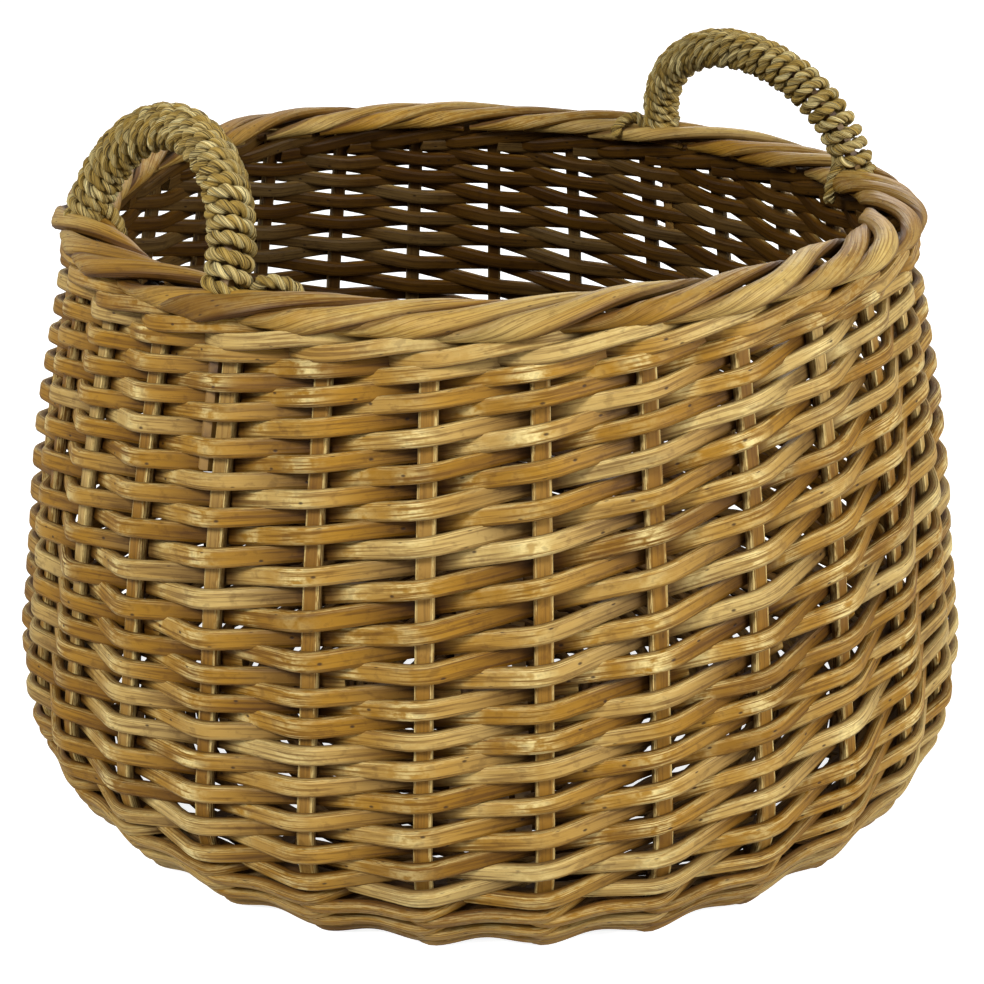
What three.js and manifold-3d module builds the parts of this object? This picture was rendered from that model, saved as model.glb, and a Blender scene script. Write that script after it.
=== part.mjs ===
// Round willow basket with two upright wound handles, in millimetres, +Z up.
// The origin is on the floor under the middle of the basket's overall width and depth.
// Angles round the basket are measured from the front (-Y) towards the right (+X).
import * as THREE from 'three';
import Module from 'manifold-3d';
import { mergeVertices } from 'three/addons/utils/BufferGeometryUtils.js';

const wasm = await Module();
wasm.setup();

// Clearance between neighbouring pieces.
const fitGap = 0.35;

// Stakes: flat upright rods, pushed into the base and turned up at its edge.
const stakeCount = 29;
const firstStakeAngle = -0.119;
const stakeWidth = 8.4;
const stakeThickness = 6;
const stakeFootLength = 44;
const stakeFootHeight = 7.3;
const stakeTuck = 6;

// Wall: mean radius of its middle surface at five heights.
const footRadius = 224.6;
const footHeight = 5;
const haunchRadius = 245;
const haunchHeight = 44;
const bellyRadius = 243.8;
const bellyHeight = 92;
const shoulderRadius = 231;
const shoulderHeight = 178;
const neckRadius = 208;
const neckHeight = 275;

// Weaving: rods that pass in front of and behind the stakes.
const weaverThickness = 5;
const waleThickness = 5.6;
const bottomWaleHeight = 21;
const lowerSidingHeight = 107;
const topWaleHeight = 8;
const bottomWaleTop = footHeight + bottomWaleHeight;
const lowerSidingTop = bottomWaleTop + lowerSidingHeight;
const upperSidingTop = neckHeight - topWaleHeight;

// The handmade wall is slightly out of round above the base, and its rim isn't level.
const wallOval = 0.019;
const wallLean = -0.04;
const ovalHeight = 130;
const rimTilt = 4;
const rimTwist = 4.4;

// Border: the stakes' tops laid down and plaited into a flattened roll.
const borderWidth = 27;
const borderDepth = 14;
const borderOut = -3;
const borderSides = 8;
const borderSeat = 1.5;

// Base: crossed sticks with a woven disc round them.
const baseThickness = 14;
const baseOpening = 24;
const stickWidth = 8;
const stickThickness = 4.6;
const stickPitch = 11;
const sticksEachWay = 4;
const stickLength = 336;
const stickFloor = 1.5;

// Handles: a stiff core wound with twisted cord.
const coreRadius = 3.6;
const coreDepth = 62;
const leftCoreSides = [15, 9];
const rightCoreSides = [9, 12.5];
const handleSpaces = 4;
const leftArchRise = 56.5;
const rightArchRise = 60;
const archLean = 21;
const archSink = 6;
const archSteps = 16;
const coreFlats = 6;
const cordRadius = 3;
const windingTurns = 21;
const turnSteps = 8;
const cordSides = 5;
const tailReach = 24;
const tailDrop = 20;
const tailSteps = 9;
const leftHandleStake = -6;
const rightHandleStake = 9;

// Colours and finish of the dry rods and of the cord.
const willow = { color: 0xa87a32, roughness: 0.55, metalness: 0 };
const darkWillow = { color: 0x7c5626, roughness: 0.6, metalness: 0 };
const borderWillow = { color: 0xb58a45, roughness: 0.5, metalness: 0 };
const stakeWillow = { color: 0x96692f, roughness: 0.6, metalness: 0 };
const seagrass = { color: 0x8f7d45, roughness: 0.8, metalness: 0 };

const basket = new THREE.Group();

function addPiece(name, geometry, finish) {
  const mesh = new THREE.Mesh(geometry, new THREE.MeshStandardMaterial(finish));
  mesh.name = name;
  basket.add(mesh);
  return mesh;
}

function toGeometry(positions, triangles) {
  const geometry = new THREE.BufferGeometry();
  geometry.setAttribute('position', new THREE.Float32BufferAttribute(positions, 3));
  geometry.setIndex(triangles);
  return geometry;
}

function toManifold(geometry) {
  const bare = geometry.clone();
  bare.deleteAttribute('normal');
  bare.deleteAttribute('uv');
  const merged = mergeVertices(bare);
  return new wasm.Manifold(new wasm.Mesh({
    numProp: 3,
    vertProperties: new Float32Array(merged.attributes.position.array),
    triVerts: new Uint32Array(merged.index.array),
  }));
}

function fromManifold(solid) {
  const mesh = solid.getMesh();
  return toGeometry(Array.from(mesh.vertProperties), Array.from(mesh.triVerts));
}

function cutAway(geometry, cutters) {
  let solid = toManifold(geometry);
  for (const cutter of cutters) {
    solid = solid.subtract(cutter);
  }
  return fromManifold(solid);
}

// Closed skin over a list of rings with equally many points each. An open run gets a flat
// fan on its first and last ring; a looped run joins its last ring to its first.
function skinRings(rings, looped) {
  const size = rings[0].length;
  const positions = rings.flat().flatMap((p) => [p.x, p.y, p.z]);
  const triangles = [];
  const runs = looped ? rings.length : rings.length - 1;
  for (let j = 0; j < runs; j += 1) {
    const here = j * size;
    const next = ((j + 1) % rings.length) * size;
    for (let i = 0; i < size; i += 1) {
      const k = (i + 1) % size;
      triangles.push(here + i, here + k, next + k, here + i, next + k, next + i);
    }
  }
  if (!looped) {
    const last = (rings.length - 1) * size;
    for (let i = 1; i < size - 1; i += 1) {
      triangles.push(0, i + 1, i, last, last + i, last + i + 1);
    }
  }
  return toGeometry(positions, triangles);
}

// Height and radius of the wall's middle surface.
const stations = [
  new THREE.Vector2(footHeight, footRadius),
  new THREE.Vector2(haunchHeight, haunchRadius),
  new THREE.Vector2(bellyHeight, bellyRadius),
  new THREE.Vector2(shoulderHeight, shoulderRadius),
  new THREE.Vector2(neckHeight, neckRadius),
];

function stationSlope(i) {
  const a = stations[Math.max(i - 1, 0)];
  const b = stations[Math.min(i + 1, stations.length - 1)];
  return (b.y - a.y) / (b.x - a.x);
}

// Smooth radius at a height, a cubic between each two stations.
function radiusAt(height) {
  const top = stations.length - 2;
  let i = 0;
  while (i < top && height > stations[i + 1].x) {
    i += 1;
  }
  const a = stations[i];
  const b = stations[i + 1];
  const span = b.x - a.x;
  const t = (height - a.x) / span;
  if (t < 0 || t > 1) {
    const end = t < 0 ? a : b;
    return end.y + stationSlope(t < 0 ? i : i + 1) * (height - end.x);
  }
  const u = 1 - t;
  return (1 + 2 * t) * u * u * a.y + t * u * u * span * stationSlope(i)
    + t * t * (3 - 2 * t) * b.y - t * t * u * span * stationSlope(i + 1);
}

function outOfRound(angle, height) {
  const t = THREE.MathUtils.clamp(height / ovalHeight, 0, 1);
  const grown = t * t * (3 - 2 * t);
  return 1 + grown * (wallLean * Math.cos(angle) + wallOval * Math.cos(2 * angle));
}

const borderHeight = neckHeight + borderSeat + borderDepth / 2;
const bodyHeight = borderHeight + borderDepth / 2;

function waveAt(angle, height) {
  return (height / bodyHeight) ** 2 * (rimTilt * Math.cos(angle) + rimTwist * Math.sin(2 * angle));
}

function polar(angle, radius, z) {
  return new THREE.Vector3(radius * Math.sin(angle), -radius * Math.cos(angle), z);
}

function wallPoint(angle, height) {
  return polar(angle, radiusAt(height) * outOfRound(angle, height), height + waveAt(angle, height));
}

// Unit vectors of the wall at a point: out of the basket, round it and up its side.
function wallFrame(angle, height) {
  const step = 0.5;
  const turn = 0.002;
  const up = wallPoint(angle, height + step).sub(wallPoint(angle, height - step)).normalize();
  const round = wallPoint(angle + turn, height).sub(wallPoint(angle - turn, height)).normalize();
  const out = round.clone().cross(up).normalize();
  return { out, round, up };
}

const stakePitch = (2 * Math.PI) / stakeCount;

function stakeAngle(i) {
  return firstStakeAngle + i * stakePitch;
}

// Flat rod through points that lie in one upright plane; "round" is the plane's normal.
function flatRod(points, round, width, thickness) {
  const rings = points.map((p, i) => {
    const before = i > 0 ? p.clone().sub(points[i - 1]).normalize() : null;
    const after = i < points.length - 1 ? points[i + 1].clone().sub(p).normalize() : null;
    const along = (before ?? after).clone().add(after ?? before).normalize();
    const across = round.clone().cross(along).normalize();
    const mitre = before && after ? 1 / Math.cos(before.angleTo(after) / 2) : 1;
    const side = round.clone().multiplyScalar(width / 2);
    const face = across.multiplyScalar((thickness / 2) * mitre);
    return [
      p.clone().add(side).add(face),
      p.clone().sub(side).add(face),
      p.clone().sub(side).sub(face),
      p.clone().add(side).sub(face),
    ];
  });
  return skinRings(rings.reverse(), false);
}

// Round rod along a path, its section carried along without twisting.
function roundRod(points, radius, sides) {
  const tangents = points.map((p, i) => {
    const a = points[Math.max(i - 1, 0)];
    const b = points[Math.min(i + 1, points.length - 1)];
    return b.clone().sub(a).normalize();
  });
  const helper = Math.abs(tangents[0].z) < 0.8 ? new THREE.Vector3(0, 0, 1) : new THREE.Vector3(1, 0, 0);
  let normal = helper.cross(tangents[0]).normalize();
  const rings = points.map((p, i) => {
    normal = normal.clone().addScaledVector(tangents[i], -normal.dot(tangents[i])).normalize();
    const binormal = tangents[i].clone().cross(normal);
    return Array.from({ length: sides }, (_, k) => {
      const t = (2 * Math.PI * k) / sides;
      return p.clone()
        .addScaledVector(normal, radius * Math.cos(t))
        .addScaledVector(binormal, radius * Math.sin(t));
    });
  });
  return skinRings(rings, false);
}

function heightsBetween(low, high, count) {
  return Array.from({ length: count + 1 }, (_, i) => THREE.MathUtils.lerp(low, high, i / count));
}

// Heights where the wall's facets turn, shared by the stakes and the weaving.
const wallHeights = [
  ...heightsBetween(footHeight, bottomWaleTop, 1),
  ...heightsBetween(bottomWaleTop, lowerSidingTop, 3).slice(1),
  ...heightsBetween(lowerSidingTop, upperSidingTop, 2).slice(1),
  neckHeight,
];

// Straight between the shared heights, as the faceted wall is.
function facetPoint(angle, height) {
  let i = 0;
  while (i < wallHeights.length - 2 && height > wallHeights[i + 1]) {
    i += 1;
  }
  const t = (height - wallHeights[i]) / (wallHeights[i + 1] - wallHeights[i]);
  return wallPoint(angle, wallHeights[i]).lerp(wallPoint(angle, wallHeights[i + 1]), t);
}

// From the rod's foot inside the base to its end inside the border.
function stakePath(i, extra) {
  const angle = stakeAngle(i);
  const turnRadius = Math.hypot(...facetPoint(angle, stakeFootHeight).toArray().slice(0, 2));
  const start = polar(angle, turnRadius - stakeFootLength - extra, stakeFootHeight);
  const inner = wallHeights.slice(1, -1).map((h) => wallPoint(angle, h));
  return [
    start,
    polar(angle, turnRadius, stakeFootHeight),
    ...inner,
    facetPoint(angle, neckHeight + stakeTuck + extra),
  ];
}

function stakeRound(i) {
  return new THREE.Vector3(Math.cos(stakeAngle(i)), Math.sin(stakeAngle(i)), 0);
}

const stakeCutters = [];
for (let i = 0; i < stakeCount; i += 1) {
  addPiece(
    `stake_${String(i + 1).padStart(2, '0')}`,
    flatRod(stakePath(i, 0), stakeRound(i), stakeWidth, stakeThickness),
    stakeWillow,
  );
  stakeCutters.push(toManifold(flatRod(
    stakePath(i, fitGap),
    stakeRound(i),
    stakeWidth + 2 * fitGap,
    stakeThickness + 2 * fitGap,
  )));
}

// The core goes down beside a stake, inside the weaving, and stands up as a leaning arch.
function handlePath(firstStake, coreSides, archRise) {
  const [firstSide, lastSide] = coreSides.map((side) => side / neckRadius);
  const feet = [stakeAngle(firstStake) + firstSide, stakeAngle(firstStake + handleSpaces) - lastSide];
  const legHeights = wallHeights.filter((h) => h > neckHeight - coreDepth);
  const leg = (angle) => [
    facetPoint(angle, neckHeight - coreDepth),
    ...legHeights.map((h) => wallPoint(angle, h)),
  ];
  const [left, right] = feet.map((angle) => facetPoint(angle, bodyHeight - archSink));
  const middle = left.clone().add(right).multiplyScalar(0.5);
  const half = right.clone().sub(left).multiplyScalar(0.5);
  const inward = new THREE.Vector3(-middle.x, -middle.y, 0).normalize();
  const rise = new THREE.Vector3(0, 0, archRise).addScaledVector(inward, archLean);
  const arch = [];
  for (let i = 0; i <= archSteps; i += 1) {
    const t = Math.PI * (i / archSteps);
    arch.push(middle.clone().addScaledVector(half, -Math.cos(t)).addScaledVector(rise, Math.sin(t)));
  }
  return [...leg(feet[0]), ...arch, ...leg(feet[1]).reverse()];
}

const handles = [
  { name: 'handle_left', path: handlePath(leftHandleStake, leftCoreSides, leftArchRise) },
  { name: 'handle_right', path: handlePath(rightHandleStake, rightCoreSides, rightArchRise) },
];

// The hole's flats stay clear of the core's corners.
const holeRadius = (coreRadius + fitGap) / Math.cos(Math.PI / coreFlats);
const coreCutters = handles.map((h) => toManifold(roundRod(h.path, holeRadius, coreFlats)));

// Closed ring of woven wall between two of the shared heights. It is thickest where the
// rods pass on both sides of a stake and thinnest halfway between two stakes, where they
// cross from outside to inside.
function wovenRing(low, high, gapAbove, rodThickness, middleHalf) {
  const heights = [...wallHeights.filter((h) => h >= low && h < high), high - gapAbove];
  const stakeHalf = stakeThickness / 2 + fitGap + rodThickness;
  const rings = [];
  for (let i = 0; i < 2 * stakeCount; i += 1) {
    const angle = firstStakeAngle + (i * stakePitch) / 2;
    const half = i % 2 === 0 ? stakeHalf : middleHalf;
    const frames = heights.map((h) => ({ p: facetPoint(angle, h), out: wallFrame(angle, h).out }));
    const outer = frames.map((f) => f.p.clone().addScaledVector(f.out, half));
    const inner = frames.map((f) => f.p.clone().addScaledVector(f.out, -half));
    rings.push([...outer, ...inner.reverse()].reverse());
  }
  return skinRings(rings, true);
}

const ringCutters = [...stakeCutters, ...coreCutters];

const crossing = weaverThickness / 2;
const wallRings = [
  ['bottom_wale', wovenRing(footHeight, bottomWaleTop, fitGap, waleThickness, waleThickness), darkWillow],
  ['siding_lower', wovenRing(bottomWaleTop, lowerSidingTop, fitGap, weaverThickness, crossing), willow],
  ['siding_upper', wovenRing(lowerSidingTop, upperSidingTop, fitGap, weaverThickness, crossing), willow],
  ['top_wale', wovenRing(upperSidingTop, neckHeight, 0, waleThickness, waleThickness), willow],
];
for (const [name, ring, finish] of wallRings) {
  addPiece(name, cutAway(ring, ringCutters), finish);
}

function borderTop(angle) {
  return bodyHeight + waveAt(angle, neckHeight);
}

// Flattened roll with straight facets, its corners set out so that its flats have the size.
function borderRing() {
  const rings = [];
  const widen = 1 / Math.cos(Math.PI / borderSides);
  for (let i = 0; i < 2 * stakeCount; i += 1) {
    const angle = firstStakeAngle + (i * stakePitch) / 2;
    const centre = wallPoint(angle, neckHeight);
    const out = new THREE.Vector3(centre.x, centre.y, 0).normalize();
    centre.addScaledVector(out, borderOut);
    centre.z = borderHeight + waveAt(angle, neckHeight);
    rings.push(Array.from({ length: borderSides }, (_, k) => {
      const t = (2 * Math.PI * (k + 0.5)) / borderSides;
      return centre.clone()
        .addScaledVector(out, (-borderWidth / 2) * widen * Math.cos(t))
        .add(new THREE.Vector3(0, 0, (borderDepth / 2) * widen * Math.sin(t)));
    }));
  }
  return skinRings(rings, true);
}

addPiece('border', cutAway(borderRing(), ringCutters), borderWillow);

const stickHalf = stickThickness / 2;
const lowerStickHeight = stickFloor + stickHalf;
const upperStickHeight = lowerStickHeight + stickThickness + fitGap;
const stickCutters = [];
for (let i = 0; i < sticksEachWay; i += 1) {
  const place = (i - (sticksEachWay - 1) / 2) * stickPitch;
  const stick = new THREE.BoxGeometry(stickLength, stickWidth, stickThickness);
  const lower = addPiece(`base_stick_across_${i + 1}`, stick, darkWillow);
  lower.position.set(0, place, lowerStickHeight);
  const upper = addPiece(`base_stick_along_${i + 1}`, stick.clone(), darkWillow);
  upper.position.set(place, 0, upperStickHeight);
  upper.rotation.z = Math.PI / 2;
  for (const mesh of [lower, upper]) {
    mesh.updateMatrixWorld();
    const grown = new THREE.BoxGeometry(
      stickLength + 2 * fitGap,
      stickWidth + 2 * fitGap,
      stickThickness + 2 * fitGap,
    );
    stickCutters.push(toManifold(grown.applyMatrix4(mesh.matrixWorld)));
  }
}

// Woven disc inside the bottom wale; its edge keeps clear of the wale's inner face.
function baseDisc() {
  const rings = [];
  for (let i = 0; i < 2 * stakeCount; i += 1) {
    const angle = firstStakeAngle + (i * stakePitch) / 2;
    const half = i % 2 === 0 ? stakeThickness / 2 + fitGap + waleThickness : waleThickness;
    const inner = [footHeight, bottomWaleTop].map((h) => {
      const p = wallPoint(angle, h).addScaledVector(wallFrame(angle, h).out, -half);
      return Math.hypot(p.x, p.y);
    });
    const edge = Math.min(...inner) - fitGap;
    rings.push([
      polar(angle, baseOpening, 0),
      polar(angle, baseOpening, baseThickness),
      polar(angle, edge, baseThickness),
      polar(angle, edge, 0),
    ]);
  }
  return skinRings(rings, true);
}

addPiece('base_weave', cutAway(baseDisc(), [...stakeCutters, ...stickCutters]), darkWillow);

// Point and axes at a distance along a path.
function pathSampler(points) {
  const lengths = [0];
  for (let i = 1; i < points.length; i += 1) {
    lengths.push(lengths[i - 1] + points[i].distanceTo(points[i - 1]));
  }
  const total = lengths[lengths.length - 1];
  const at = (s) => {
    let i = 0;
    while (i < points.length - 2 && s > lengths[i + 1]) {
      i += 1;
    }
    return points[i].clone().lerp(points[i + 1], (s - lengths[i]) / (lengths[i + 1] - lengths[i]));
  };
  return { at, total };
}

// Cord wound round the arch between the two places where the core leaves the border. It
// makes a half turn more than the full turns, so that both ends point away from the arch.
function windingPath(path) {
  const { at, total } = pathSampler(path);
  const loop = (coreRadius + fitGap + cordRadius) / Math.cos(Math.PI / turnSteps);
  const alongAt = (s) => at(s + cordRadius / 2).sub(at(s - cordRadius / 2)).normalize();
  const aboveBorder = (s) => {
    const p = at(s);
    const along = alongAt(s);
    const below = loop * Math.hypot(along.x, along.y) + cordRadius + fitGap;
    return p.z - below - borderTop(Math.atan2(p.x, -p.y));
  };
  const leaves = (from, stride) => {
    let s = from;
    while (aboveBorder(s) < 0) {
      s += stride;
    }
    return s;
  };
  const step = 0.25;
  const start = leaves(0, step);
  const run = leaves(total, -step) - start;
  const steps = Math.round((windingTurns + 0.5) * turnSteps);
  const middle = at(start + run / 2);
  const planeNormal = at(start).sub(middle).cross(at(start + run).sub(middle)).normalize();
  const sideAt = (s) => planeNormal.clone().cross(alongAt(s)).normalize();
  const points = [];
  for (let i = 0; i <= steps; i += 1) {
    const s = start + (run * i) / steps;
    const t = (2 * Math.PI * i) / turnSteps;
    points.push(at(s)
      .addScaledVector(planeNormal, loop * Math.cos(t))
      .addScaledVector(sideAt(s), loop * Math.sin(t)));
  }
  const straight = -2 * cordRadius;
  points.unshift(points[0].clone().addScaledVector(sideAt(start), straight));
  points.push(points[steps + 1].clone().addScaledVector(sideAt(start + run), straight));
  return points;
}

// The cord's end lies over the border and is tucked in below its inner edge.
function tailPath(end, beforeEnd) {
  const away = end.clone().sub(beforeEnd).normalize();
  const from = end.clone().addScaledVector(away, fitGap);
  const straight = end.clone().addScaledVector(away, 2 * cordRadius);
  const far = end.clone().addScaledVector(away, tailReach);
  const angle = Math.atan2(far.x, -far.y);
  const innerEdge = Math.hypot(wallPoint(angle, neckHeight).x, wallPoint(angle, neckHeight).y)
    + borderOut - borderWidth / 2 - cordRadius - 2 * fitGap;
  const top = borderTop(angle) + cordRadius + 2 * fitGap;
  const curve = new THREE.CatmullRomCurve3([
    from,
    straight,
    polar(angle, innerEdge + cordRadius, top),
    polar(angle, innerEdge, top - tailDrop / 2),
    polar(angle, innerEdge, top - tailDrop),
  ], false, 'centripetal');
  return curve.getSpacedPoints(tailSteps);
}

// Least gap between neighbouring turns, measured on points three to a step.
function leastSelfGap(points, radius) {
  let least = Infinity;
  const apart = Math.ceil(turnSteps / 2);
  const fine = points.flatMap((p, i) => {
    const next = points[Math.min(i + 1, points.length - 1)];
    return [p, p.clone().lerp(next, 1 / 3), p.clone().lerp(next, 2 / 3)];
  });
  for (let i = 0; i < fine.length; i += 1) {
    for (let j = i + 3 * apart; j < Math.min(fine.length, i + 6 * turnSteps); j += 1) {
      least = Math.min(least, fine[i].distanceTo(fine[j]));
    }
  }
  return least - 2 * radius;
}

for (const handle of handles) {
  addPiece(`${handle.name}_core`, roundRod(handle.path, coreRadius, coreFlats), darkWillow);
  const points = windingPath(handle.path);
  const last = points.length - 1;
  console.log(`${handle.name}_winding least gap to itself ${leastSelfGap(points, cordRadius).toFixed(2)} mm`);
  addPiece(`${handle.name}_winding`, roundRod(points, cordRadius, cordSides), seagrass);
  const ends = [tailPath(points[0], points[1]), tailPath(points[last], points[last - 1])];
  ends.forEach((path, i) => {
    addPiece(`${handle.name}_cord_end_${i + 1}`, roundRod(path, cordRadius, cordSides), seagrass);
  });
}

// Puts the middle of the overall width and depth on the origin.
const overall = new THREE.Box3().setFromObject(basket).getCenter(new THREE.Vector3());
basket.position.set(-overall.x, -overall.y, 0);

export default basket;
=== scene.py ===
# %% [markdown]
# # A round willow basket with wound handles
# The basket is woven, not moulded: upright stakes, long flat rods laid in front of and
# behind them, a plaited border and two arches wound with cord. Each of these is made here
# as real rods, so that light falls between them as it does on the real thing.

# %% Load the frame
import bpy
import math
import numpy as np
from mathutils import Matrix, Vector


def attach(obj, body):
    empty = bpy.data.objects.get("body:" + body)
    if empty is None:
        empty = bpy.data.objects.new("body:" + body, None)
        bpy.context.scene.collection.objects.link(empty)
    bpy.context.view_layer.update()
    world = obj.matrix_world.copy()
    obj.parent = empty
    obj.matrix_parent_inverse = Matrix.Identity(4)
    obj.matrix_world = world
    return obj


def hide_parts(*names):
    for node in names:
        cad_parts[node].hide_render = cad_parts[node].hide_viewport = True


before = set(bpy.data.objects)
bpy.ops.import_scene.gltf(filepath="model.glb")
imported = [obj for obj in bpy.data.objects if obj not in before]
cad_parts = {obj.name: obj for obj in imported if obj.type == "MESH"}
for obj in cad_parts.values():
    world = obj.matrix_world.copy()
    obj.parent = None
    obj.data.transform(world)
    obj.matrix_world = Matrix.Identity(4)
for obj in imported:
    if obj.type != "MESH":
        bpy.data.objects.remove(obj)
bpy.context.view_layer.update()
bpy.ops.object.select_all(action="DESELECT")
print("CAD nodes:", len(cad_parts))

# %% [markdown]
# ## The measured wall
# Every rod follows the same wall, so its shape comes first. It could be a mesh to which
# the rods are fitted, but formulas give a place and the outward direction at any angle and
# height. Sizes are in millimetres here and become metres when a mesh is written. The wall
# is a smooth curve through five radii. It is round at the foot and a little out of round
# higher up, and its rim waves up and down as handmade rims do.

# %% Sizes of the wall
MM = 0.001
STAKES = 29
FIRST_ANGLE = -0.119
PITCH = 2 * math.pi / STAKES
MIDDLE = np.array([-0.090, -6.159, 0.0])
STATION_HEIGHTS = [5, 44, 92, 178, 275]
STATION_RADII = [224.6, 245, 243.8, 231, 208]
LAST = len(STATION_RADII) - 1
NECK = 275.0
LEAN, OVAL, TILT, TWIST = -0.04, 0.019, 4.0, 4.4
OVAL_FROM = 130
BORDER_WIDTH = 27.0
BORDER_DEPTH = 14.0
BORDER_OUT = -3.0
BORDER_HEIGHT = NECK + 1.5 + BORDER_DEPTH / 2
BODY_HEIGHT = BORDER_HEIGHT + BORDER_DEPTH / 2
chance = np.random.default_rng(29)
print("Body height", BODY_HEIGHT, "mm")


# %% Radius, out-of-roundness and wave
def station_slope(i):
    a, b = max(i - 1, 0), min(i + 1, LAST)
    return (STATION_RADII[b] - STATION_RADII[a]) / (STATION_HEIGHTS[b] - STATION_HEIGHTS[a])


def mean_radius(height):
    """Smooth curve through the stations, carried on straight below and above them."""
    height = np.asarray(height, float)
    found = np.zeros_like(height)
    for i in range(LAST):
        low, high = STATION_HEIGHTS[i], STATION_HEIGHTS[i + 1]
        here = (height >= low) & (height <= high)
        span = high - low
        t = (height - low) / span
        u = 1 - t
        curve = ((1 + 2 * t) * u * u * STATION_RADII[i]
                 + t * u * u * span * station_slope(i)
                 + t * t * (3 - 2 * t) * STATION_RADII[i + 1]
                 - t * t * u * span * station_slope(i + 1))
        found = np.where(here, curve, found)
    foot = STATION_HEIGHTS[0]
    below = STATION_RADII[0] + station_slope(0) * (height - foot)
    above = STATION_RADII[LAST] + station_slope(LAST) * (height - NECK)
    found = np.where(height < foot, below, found)
    return np.where(height > NECK, above, found)


def out_of_round(angle, height):
    t = np.clip(np.asarray(height, float) / OVAL_FROM, 0, 1)
    return 1 + t * t * (3 - 2 * t) * (LEAN * np.cos(angle) + OVAL * np.cos(2 * angle))


def wave(angle, height):
    return (height / BODY_HEIGHT) ** 2 * (TILT * np.cos(angle) + TWIST * np.sin(2 * angle))


print("Widest radius", float(mean_radius(60.0).round(1)), "mm")

# %% The wall as a function of angle and height
SLOPE_UP, SLOPE_ROUND = 0.5, 0.002
LOWEST, HIGHEST = 6, 300


def polar(angle, radius, z):
    return np.stack(np.broadcast_arrays(radius * np.sin(angle), -radius * np.cos(angle), z), -1)


def angle_of(points):
    return np.arctan2(points[..., 0], -points[..., 1])


def unit(v):
    return v / np.linalg.norm(v, axis=-1, keepdims=True)


def on_wall(angle, height):
    radius = mean_radius(height) * out_of_round(angle, height)
    return polar(angle, radius, height + wave(angle, height))


def wall_out(angle, height):
    """Outward direction of the wall, from its slopes round and up."""
    up = on_wall(angle, height + SLOPE_UP) - on_wall(angle, height - SLOPE_UP)
    around = on_wall(angle + SLOPE_ROUND, height) - on_wall(angle - SLOPE_ROUND, height)
    return unit(np.cross(around, up))


def wall(angle, height, offset=0.0):
    """Points on the wall, or so far outside it."""
    return on_wall(angle, height) + wall_out(angle, height) * np.asarray(offset, float)[..., None]


def out_at(points):
    return wall_out(angle_of(points), np.clip(points[:, 2], LOWEST, HIGHEST))


front = wall(np.zeros(1), np.full(1, NECK))[0]
print("Front of the neck", front.round(1), "mm")

# %% [markdown]
# ## One rod, modelled once
# A bevelled curve is the quick way to a rod, but its width, its worn edges and its map
# can't all change along it. So all the rods start as a blank: a twelve-sided bar, cut into
# many short lengths. A blank is copied, and each copy's rings are set along its own path,
# with its own thickness. The section is a flat bar with bevelled corners, because the rods
# here are flattened willow. The border's strokes are oval instead. Cord and the base's
# thin rods are round, and seven sides are enough for them.

# %% The blank bars
ROD_CORNERS, CORD_CORNERS = 12, 7
FLAT = [(1, .6), (.78, .93), (.35, 1), (-.35, 1), (-.78, .93), (-1, .6),
        (-1, -.6), (-.78, -.93), (-.35, -1), (.35, -1), (.78, -.93), (1, -.6)]
OVAL_BAR = [(math.cos(t), math.sin(t))
            for t in (math.radians(15 + 30 * k) for k in range(ROD_CORNERS))]
ROUND = [(math.cos(t), math.sin(t))
         for t in (2 * math.pi * k / CORD_CORNERS for k in range(CORD_CORNERS))]


def cut_lengthwise(bar, cuts):
    """Subdivides the edges that run along an upright bar."""
    bpy.ops.object.mode_set(mode="EDIT")
    bpy.ops.mesh.select_mode(type="EDGE")
    bpy.ops.mesh.select_all(action="DESELECT")
    bpy.ops.object.mode_set(mode="OBJECT")
    z = [v.co.z for v in bar.data.vertices]
    for edge in bar.data.edges:
        edge.select = abs(z[edge.vertices[0]] - z[edge.vertices[1]]) > 1e-6
    bpy.ops.object.mode_set(mode="EDIT")
    bpy.ops.mesh.subdivide(number_cuts=cuts)
    bpy.ops.object.mode_set(mode="OBJECT")


def bar_blank(name, first_cuts, second_cuts, corners):
    """Upright unit bar with (first_cuts + 1) * (second_cuts + 1) lengths."""
    bpy.ops.mesh.primitive_cylinder_add(vertices=corners, radius=0.5, depth=1,
                                        end_fill_type="NGON")
    bar = bpy.context.object
    bar.name = name
    for cuts in (first_cuts, second_cuts):
        cut_lengthwise(bar, cuts)
    lengths = (first_cuts + 1) * (second_cuts + 1)
    co = np.array([v.co[:] for v in bar.data.vertices])
    ring = np.rint((co[:, 2] + 0.5) * lengths).astype(int)
    turned = np.arctan2(co[:, 1], co[:, 0])
    corner = np.rint(turned / (2 * math.pi / corners)).astype(int) % corners
    loop_vertex = np.array([loop.vertex_index for loop in bar.data.loops])
    loop_corner = corner[loop_vertex].astype(float)
    for face in bar.data.polygons:
        here = slice(face.loop_start, face.loop_start + face.loop_total)
        own = loop_corner[here]
        if own.max() - own.min() == corners - 1 and face.loop_total == 4:
            loop_corner[here] = np.where(own == 0, corners, own)
    print(name, len(co), "points,", lengths, "lengths")
    return {"object": bar, "ring": ring, "corner": corner, "rings": lengths + 1,
            "corners": corners, "loop_ring": ring[loop_vertex], "loop_corner": loop_corner}


lower_blank = bar_blank("lower_blank", 13, 15, ROD_CORNERS)
upper_blank = bar_blank("upper_blank", 16, 15, ROD_CORNERS)
short_blank = bar_blank("short_blank", 7, 9, ROD_CORNERS)
cord_blank = bar_blank("cord_blank", 35, 37, CORD_CORNERS)


# %% Smooth paths
def run_along(line):
    """Length from the line's start to each of its points."""
    steps = np.linalg.norm(np.diff(line, axis=0), axis=1)
    return np.concatenate([[0], np.cumsum(steps)])


def read_at(new, old, rows):
    return np.stack([np.interp(new, old, column) for column in rows.T], 1)


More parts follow.
